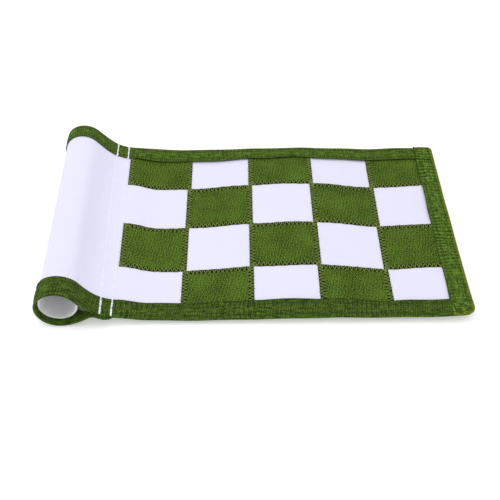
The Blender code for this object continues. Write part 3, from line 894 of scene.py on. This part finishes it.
def make_tube(material):
    """The plastic tube: its wall's section, with rounded rims, turned about its axis."""
    axis = Vector((-SLEEVE_SLANT, FLAG_HEIGHT, 0)).normalized()
    centre = Vector((SEAM_X - SEAM_TO_TUBE + ORIGIN_X, 0, TUBE_CENTRE_Z))
    half = TUBE_LENGTH / 2
    bore = TUBE_RADIUS - TUBE_WALL
    edge = 0.32 * MM
    profile = []
    for radius, end, angles in (
        (TUBE_RADIUS - edge, -half + edge, (-90, -45, 0)),
        (TUBE_RADIUS - edge, half - edge, (0, 45, 90)),
        (bore + edge, half - edge, (90, 135, 180)),
        (bore + edge, -half + edge, (180, 225, 270)),
    ):
        for angle in angles:
            turn = math.radians(angle)
            profile.append((radius + edge * math.cos(turn), end + edge * math.sin(turn)))
        if angles[-1] in (0, 180):
            next_end = half - edge if angles[-1] == 0 else -half + edge
            profile += [(profile[-1][0], end + (next_end - end) * k / 24) for k in range(1, 24)]
    profile = np.array(profile)
    sides = 128
    turn = np.arange(sides) / sides * math.tau
    aside = np.array(axis.cross(Vector((0, 0, 1))))
    up = np.array((0, 0, 1.0))
    spoke = np.cos(turn)[:, None] * aside + np.sin(turn)[:, None] * up
    points = np.array(centre) + profile[None, :, :1] * spoke[:, None] + profile[None, :, 1:] * np.array(axis)
    count = len(profile)
    number = np.arange(sides * count).reshape(sides, count)
    beside = np.roll(number, -1, axis=0)
    ahead = np.roll(number, -1, axis=1)
    both = np.roll(beside, -1, axis=1)
    faces = np.stack([number, ahead, both, beside], -1).reshape(-1, 4).tolist()
    uv = np.stack(np.broadcast_arrays(profile[None, :, 1], turn[:, None] * TUBE_RADIUS), -1).reshape(-1, 2)
    return make_object("sleeve_tube", points.reshape(-1, 3), faces, uv, material)


def make_row(name, distance, seed, material):
    """A row of heavy stitches along the sleeve, over both tapes."""
    reach = HALF_HEIGHT - 0.4 * MM
    count = round(2 * reach / ROW_STITCH)
    step = 2 * reach / count
    gap = 0.12 * MM
    t = np.linspace(0, 1, 19)
    arch = np.minimum(1, np.sin(math.pi * t) * 1.9) ** 0.7
    paths = []
    ups = []
    radii = []
    for k in range(count):
        start = -reach + step * k
        wobble = 0.14 * MM * math.sin(seed + 2.4 * k)
        u = between((-distance + wobble, -distance - wobble), t)
        y = between((start + gap, start + step - gap), t)
        over_tape = smooth_step(TAPE_INNER - 0.9 * MM, TAPE_INNER + 0.1 * MM, np.abs(y))
        base = between((WHITE_HALF - 0.60 * MM, TAPE_RIDES + TAPE_THICKNESS / 2 + 0.16 * MM), over_tape)
        rounded = smooth_step(HALF_HEIGHT - 1.3 * MM, HALF_HEIGHT, np.abs(y))
        plump = ROW_THREAD * (0.92 + 0.12 * math.sin(1.7 * k + seed))
        paths.append(place(u, y, base - 0.35 * MM * rounded + plump * (arch * 0.95 - 0.45)))
        ups.append(normals(u, y))
        radii.append(plump * (0.55 + 0.45 * arch))
    return threads(name, paths, ups, radii, 12, material, 1.6 / MM)


def zigzag_path(along, middles, down_column, offset, seed):
    """A zigzag thread; it dips into the cloth at each turn. middles is the middle of its band at
    each of the places along it."""
    corners = []
    side = 1
    for k, (place_along, middle) in enumerate(zip(along, middles)):
        wide = middle + side * (BAND_WIDTH / 2 + 0.22 * MM + 0.20 * MM * math.sin(seed + 2.3 * k))
        corners.append((wide, place_along) if down_column else (place_along, wide))
        side = -side
    corners = np.array(corners)
    per_stitch = 5
    t = np.arange(per_stitch) / per_stitch
    between_corners = corners[:-1, None] + (corners[1:, None] - corners[:-1, None]) * t[None, :, None]
    flat = np.concatenate([between_corners.reshape(-1, 2), corners[-1:]])
    arch = np.concatenate([np.tile(np.sin(math.pi * t) ** 0.5, len(corners) - 1), [0]])
    height = offset[0] + (offset[1] - offset[0]) * arch
    path = place(flat[:, 0], flat[:, 1], height)
    return path, normals(flat[:, 0], flat[:, 1])


def make_zigzag(name, start, end, middle_at, down_column, lift, seed, material):
    """One zigzag seam: its thread on the cloth's face and its thread on the back."""
    count = max(2, round((end - start) / ZIGZAG_STEP))
    along = np.linspace(start, end, count + 1)
    wobble = 0.14 * MM * np.sin(seed * 1.3 + 1.9 * np.arange(count + 1))
    along = np.clip(along + wobble, start, end)
    middles = [middle_at(place_along) for place_along in along]
    face = (GREEN_HIGH - 0.16 * MM, GREEN_HIGH + ZIGZAG_THREAD * 0.8 + lift)
    back = (-WHITE_HALF + 0.02 * MM, -WHITE_HALF - ZIGZAG_THREAD * 0.6 - lift)
    paths = []
    ups = []
    for offset in (face, back):
        path, up = zigzag_path(along, middles, down_column, offset, seed)
        paths.append(path)
        ups.append(up)
    radii = [np.full(len(path), ZIGZAG_THREAD) for path in paths]
    return threads(name, paths, ups, radii, 6, material, 2.2 / MM)


def column_band(number):
    """The middle of the zigzag band along a column line: inside whichever square is green there."""
    line = number * COLUMN_PITCH

    def middle_at(y):
        row = min(ROWS - 1, max(0, math.floor(y / ROW_PITCH + ROWS / 2)))
        side = 1 if is_green(number, row) else -1
        return line + side * (BAND_WIDTH / 2 - OVER_COLUMN_LINE)

    return middle_at


def row_band(number):
    """The middle of the zigzag band along a row line: inside whichever square is green there."""
    line = row_line(number)

    def middle_at(x):
        column = min(COLUMNS - 1, int(x / COLUMN_PITCH))
        side = 1 if is_green(column, number) else -1
        return line + side * (BAND_WIDTH / 2 - OVER_ROW_LINE)

    return middle_at


def make_zigzags(material):
    """The zigzag seams. Returns those that ride the field and those that cross the fold."""
    limit = TAPE_INNER + 0.6 * MM
    riding = []
    crossing = []
    for number in range(1, COLUMNS):
        name = f"zigzag_thread_column_{number}"
        seam = make_zigzag(name, -limit, limit, column_band(number), True, 0, number, material)
        riding.append((seam, [f"zigzag_column_{number}"]))
    start = GREEN_START + 0.3 * MM
    end = FLY_INNER + 0.6 * MM
    for number in range(1, ROWS):
        name = f"zigzag_thread_row_{number}"
        seam = make_zigzag(name, start, end, row_band(number), False, 0.10 * MM, 7 + number, material)
        crossing.append((seam, [f"zigzag_row_{number}"]))
    middle = GREEN_START + BAND_WIDTH / 2
    for row, where in ((1, "middle"), (3, "far")):
        near = row_line(row)
        far = min(near + ROW_PITCH, limit)
        name = f"zigzag_thread_seam_{where}"
        seam = make_zigzag(name, near, far, lambda y: middle, True, 0.05 * MM, 12 + row, material)
        crossing.append((seam, [f"zigzag_seam_{where}"]))
    return riding, crossing


def make_line(name, places, seed, lift, material):
    """A line of fine stitches through tape; places are (u, y, along, across) at its points."""
    gone = distances_along(places[:, :2])
    count = max(1, round(gone[-1] / FINE_STITCH))
    step = gone[-1] / count
    t = np.linspace(0, 1, 7)
    arch = np.sin(math.pi * t) ** 0.5
    paths = []
    ups = []
    for k in range(count):
        at = (k + 0.06 + 0.88 * t) * step
        u, y, along, across = (np.interp(at, gone, places[:, c]) for c in range(4))
        base = TAPE_RIDES + TAPE_THICKNESS / 2 + tape_swell(along, across, seed)
        rise = lift * over_far_tape(y)
        paths.append(place(u, y, base + rise - 0.14 * MM + 0.20 * MM * arch))
        ups.append(normals(u, y))
    radii = [np.full(len(t), FINE_THREAD)] * count
    return threads(name, paths, ups, radii, 6, material, 2.5 / MM)


def make_edge_lines(side, name, seed, material):
    """The two stitch lines of the near or far tape, each one line round the sleeve and along the field."""
    made = []
    for which, across in STITCH_LINES:
        us = lines_between([-girth_at(4), FLY_INNER], 0.5 * MM)
        y = side * (TAPE_INNER + across)
        places = np.stack([us, 0 * us + y, us, 0 * us + across], -1)
        nodes = [f"{name}_loop_stitch_{which}", f"{name}_field_stitch_{which}"]
        made.append((make_line(f"{name}_tape_stitches_{which}", places, seed, 0, material), nodes))
    return made


def make_fly_lines(material):
    """The two stitch lines of the fly tape, round the near corner and up the fly edge."""
    made = []
    for which, across in STITCH_LINES:
        places = []
        for angle, gone in corner_turn():
            width = corner_width(angle) * across / TAPE_WIDTH
            u = FLY_INNER + width * math.sin(angle)
            y = -TAPE_INNER - width * math.cos(angle)
            places.append((u, y, gone, across))
        for y in lines_between([-TAPE_INNER + 0.6 * MM, HALF_HEIGHT - 1.2 * MM], 0.6 * MM):
            places.append((FLY_INNER + across, y, y, across))
        line = make_line(f"fly_tape_stitches_{which}", np.array(places), FLY, TAPE_LAP, material)
        made.append((line, [f"fly_stitch_{which}"]))
    return made


# Stage

CAMERA_AZIMUTH = math.radians(-0.807)
CAMERA_ELEVATION = math.radians(44.5)
CAMERA_ROLL = math.radians(0.137)
CAMERA_TARGET = Vector((-1.4, -22.0, 3.4)) * MM
CAMERA_DISTANCE = 496.3 * MM
LENS = 59.66


def make_camera():
    data = bpy.data.cameras.new("camera")
    data.lens = LENS
    data.sensor_width = 36
    data.clip_start = 0.01
    camera = add_object("camera", data)
    back = Vector((
        math.sin(CAMERA_AZIMUTH) * math.cos(CAMERA_ELEVATION),
        -math.cos(CAMERA_AZIMUTH) * math.cos(CAMERA_ELEVATION),
        math.sin(CAMERA_ELEVATION),
    ))
    right = Vector((math.cos(CAMERA_AZIMUTH), math.sin(CAMERA_AZIMUTH), 0))
    up = back.cross(right)
    rolled_right = math.cos(CAMERA_ROLL) * right + math.sin(CAMERA_ROLL) * up
    rolled_up = -math.sin(CAMERA_ROLL) * right + math.cos(CAMERA_ROLL) * up
    turn = Matrix((rolled_right, rolled_up, back)).transposed()
    camera.matrix_world = Matrix.Translation(CAMERA_TARGET + back * CAMERA_DISTANCE) @ turn.to_4x4()
    bpy.context.scene.camera = camera


def make_light(name, location, size, power):
    data = bpy.data.lights.new(name, "AREA")
    data.shape = "DISK"
    data.size = size
    data.energy = power
    light = add_object(name, data)
    light.location = location
    light.rotation_euler = Vector(location).to_track_quat("Z", "Y").to_euler()


def make_stage():
    """A plain pale floor under soft light from all round and from above."""
    recipe = Recipe("floor", 0.9, Specular_IOR_Level=0.1, Base_Color=(0.93, 0.93, 0.93, 1),
                    Emission_Color=(1, 1, 1, 1), Emission_Strength=0.30)
    half = 3.0
    corners = [(-half, -half, 0), (half, -half, 0), (half, half, 0), (-half, half, 0)]
    mesh = bpy.data.meshes.new("floor")
    mesh.from_pydata(corners, [], [(0, 1, 2, 3)])
    mesh.materials.append(recipe.material)
    floor = add_object("floor", mesh)
    floor.location.z = -0.4 * MM
    world = bpy.data.worlds.new("soft_white")
    world.use_nodes = True
    background = world.node_tree.nodes["Background"]
    background.inputs["Color"].default_value = (1, 1, 1, 1)
    background.inputs["Strength"].default_value = 0.90
    bpy.context.scene.world = world
    make_light("overhead", (-0.14, 0.0, 0.42), 0.35, 0.39)
    make_light("front", (0.3, -0.9, 0.8), 0.8, 0.4)
    bpy.context.scene.view_settings.view_transform = "Standard"


# Assembly

def fold_line():
    """Two points across the fold's axis, TURN_BEFORE before it and TURN_AFTER after it."""
    axis = Vector(HINGE["axis"]).normalized()
    across = axis.cross(Vector((0, 0, 1)))
    if across.x < 0:
        across = -across
    at = Vector(HINGE["pos_m"])
    return at - across * TURN_BEFORE, at + across * TURN_AFTER


def main():
    make_camera()
    make_stage()
    white = white_nylon()
    green = green_nylon()
    # One tape in three copies: factor paints light and shade, making the near tape darker and the far and fly
    # tapes lighter.
    near_green = green_tape("near_tape_weave", 0.93, 0.0)
    far_green = green_tape("far_tape_weave", 1.18, 0.1)
    fly_green = green_tape("fly_tape_weave", 1.38, 0.55)
    plastic = white_plastic()
    white_yarn = yarn("white_yarn", (0.80, 0.80, 0.94), (0.93, 0.93, 0.99))
    green_yarn = yarn("green_yarn", (0.100, 0.150, 0.018), (0.320, 0.420, 0.090))
    tape_yarn = yarn("tape_yarn", (0.030, 0.055, 0.006), (0.150, 0.220, 0.040))
    start, end = fold_line()

    def across_fold(piece, slot, *nodes):
        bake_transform(piece)
        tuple(start)
        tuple(end)
        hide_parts(*nodes)

    def on_body(piece, body, slot, *nodes):
        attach(piece, body)
        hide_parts(*nodes)

    flag_cloth, white_area = make_flag_cloth(white)
    across_fold(flag_cloth, "white_nylon", "sleeve_cloth", "field_cloth")
    checker, green_area = make_green_checker(green)
    across_fold(checker, "green_nylon", "green_checker")

    fly_start = FLY_INNER + 0.1 * MM
    near_tape = tape_body("near_tape", edge_route(-1, fly_start), near_green, NEAR, 0.30 * MM)
    across_fold(near_tape, "green_tape", "near_loop_binding", "near_field_binding")
    far_end = FIELD_LENGTH - 2.6 * MM
    far_tape = tape_body("far_tape", edge_route(1, far_end), far_green, FAR, 0.75 * MM)
    across_fold(far_tape, "green_tape", "far_loop_binding", "far_field_binding")
    fly_tape = tape_body("fly_tape", fly_route(), fly_green, FLY, 0.45 * MM)
    on_body(fly_tape, "field", "green_tape", "fly_binding")

    on_body(make_tube(plastic), "tube", "white_plastic", "insert_tube")
    for which, distance, seed in (("outer", INNER_ROW + ROW_SPACING, 0.4), ("inner", INNER_ROW, 2.1)):
        row = make_row(f"white_stitches_{which}", distance, seed, white_yarn)
        on_body(row, "sleeve", "white_thread", f"sleeve_stitch_{which}")

    riding, crossing = make_zigzags(green_yarn)
    for piece, nodes in riding:
        on_body(piece, "field", "green_thread", *nodes)
    for piece, nodes in crossing:
        across_fold(piece, "green_thread", *nodes)
    for piece, nodes in make_edge_lines(-1, "near", NEAR, tape_yarn):
        across_fold(piece, "green_thread", *nodes)
    for piece, nodes in make_edge_lines(1, "far", FAR, tape_yarn):
        across_fold(piece, "green_thread", *nodes)
    for piece, nodes in make_fly_lines(tape_yarn):
        on_body(piece, "field", "green_thread", *nodes)


main()
